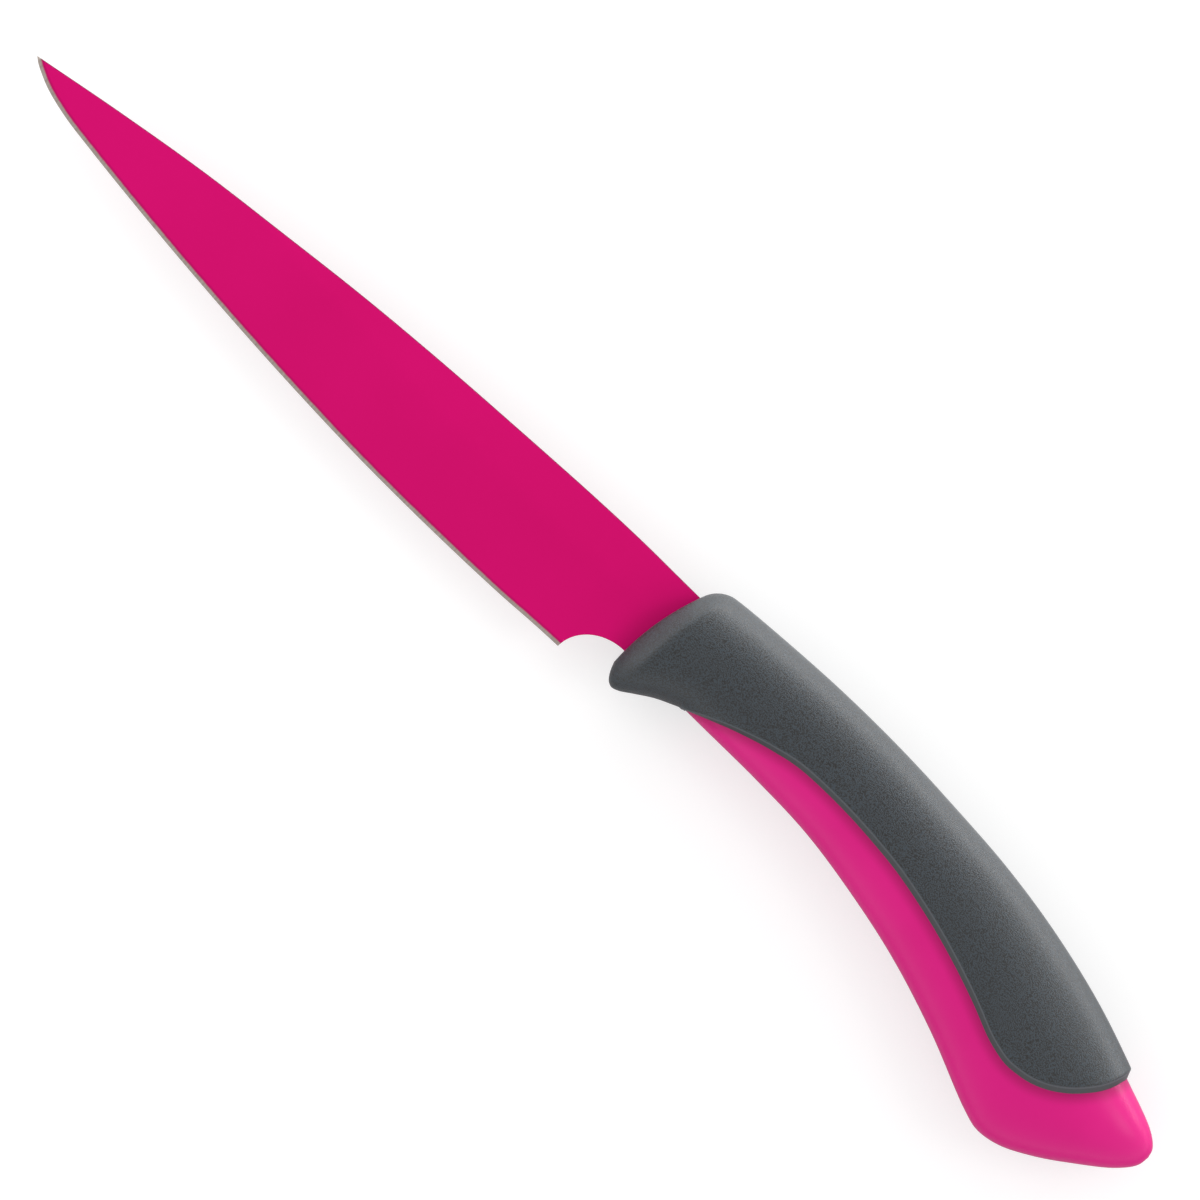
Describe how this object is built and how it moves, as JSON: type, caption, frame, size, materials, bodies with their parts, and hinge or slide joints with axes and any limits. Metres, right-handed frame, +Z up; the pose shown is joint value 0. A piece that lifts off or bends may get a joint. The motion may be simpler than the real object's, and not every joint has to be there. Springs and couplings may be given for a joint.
{
  "type": "slicing knife",
  "caption": "Slicing knife with a coated steel blade, a hidden tang, a curved hard plastic handle, and a soft grip with a finger guard and a raised lip.",
  "frame": {"origin": "under the middle of the knife's length and width, on the surface that the knife lies on", "axes": "the knife lies on its side: +X runs from the blade's tip to the butt, +Y points to the spine, and +Z is up, through the thickness"},
  "size_m": [0.2814, 0.0394, 0.0183],
  "materials": {
    "blade_coating": "satin non-stick coating in magenta over stainless steel, ground off along the cutting edge",
    "hard_plastic": "semi-gloss moulded plastic, pink",
    "soft_rubber": "matte soft-touch rubber with a fine grain, dark grey"
  },
  "bodies": {
    "root": {"blade": "blade_coating", "handle_core": "hard_plastic", "soft_grip": "soft_rubber"}
  },
  "joints": []
}
